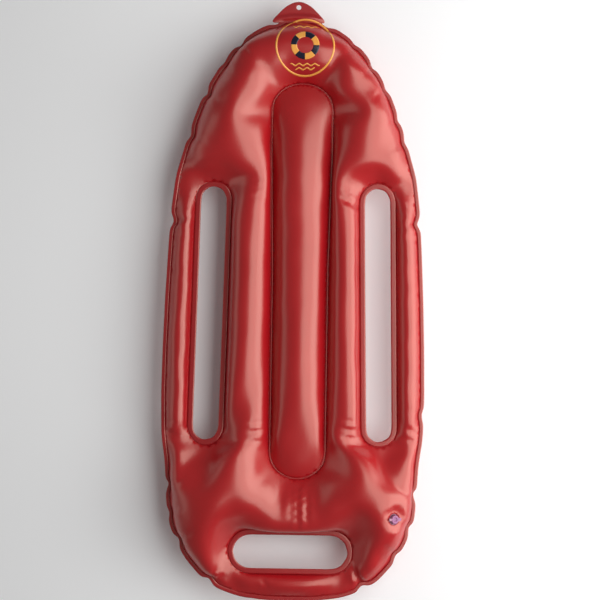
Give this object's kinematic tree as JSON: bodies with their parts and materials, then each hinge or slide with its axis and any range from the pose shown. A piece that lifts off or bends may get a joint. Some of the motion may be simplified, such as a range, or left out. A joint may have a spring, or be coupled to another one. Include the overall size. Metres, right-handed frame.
{
  "type": "inflatable rescue float",
  "caption": "Flat inflatable rescue float of glossy film with side hand slots, a foot handle, a raised centre tube, a push-in air valve and a hanging tab.",
  "frame": {"origin": "centre of the underside's bounding box: the float lies on its back with the origin on the ground", "axes": "+Y to the hanging tab at the head end, +Z out of the front face with the badge and the valve, +X to the right hand when the front is seen with the tab up"},
  "size_m": [0.322, 0.732, 0.082],
  "materials": {
    "film": "glossy",
    "fused_film": "glossy, pressed",
    "ink": "printed",
    "valve_clear": "translucent",
    "valve_plug": "translucent"
  },
  "bodies": {
    "float": {"front_skin": "film", "back_skin": "film", "outer_seam": "fused_film", "left_slot_seam": "fused_film", "right_slot_seam": "fused_film", "handle_slot_seam": "fused_film", "centre_seam": "fused_film", "hanging_tab": "fused_film", "badge_print": "ink", "valve_flange": "valve_clear", "valve_boot": "valve_clear"},
    "stem": {"valve_stem": "valve_clear", "plug_strap": "valve_clear"},
    "flap": {"check_flap": "valve_clear"},
    "plug": {"valve_plug": "valve_plug"}
  },
  "joints": [
    {"name": "valve_slide", "type": "slide", "parent": "float", "child": "stem", "axis": [0.5, 0, 0.866], "range_m": [0, 0.01], "deforming": ["valve_boot"]},
    {"name": "plug_flip", "type": "hinge", "parent": "stem", "child": "plug", "pos_m": [0.11864, -0.261, 0.07681], "axis": [0, -1, 0], "range_deg": [0, 150], "deforming": ["plug_strap"]},
    {"name": "flap_open", "type": "hinge", "parent": "stem", "child": "flap", "pos_m": [0.11728, -0.261, 0.06547], "axis": [0, 1, 0], "range_deg": [0, 60], "stiffness_Nm_per_rad": 0.00002, "springref_deg": -20.05}
  ]
}
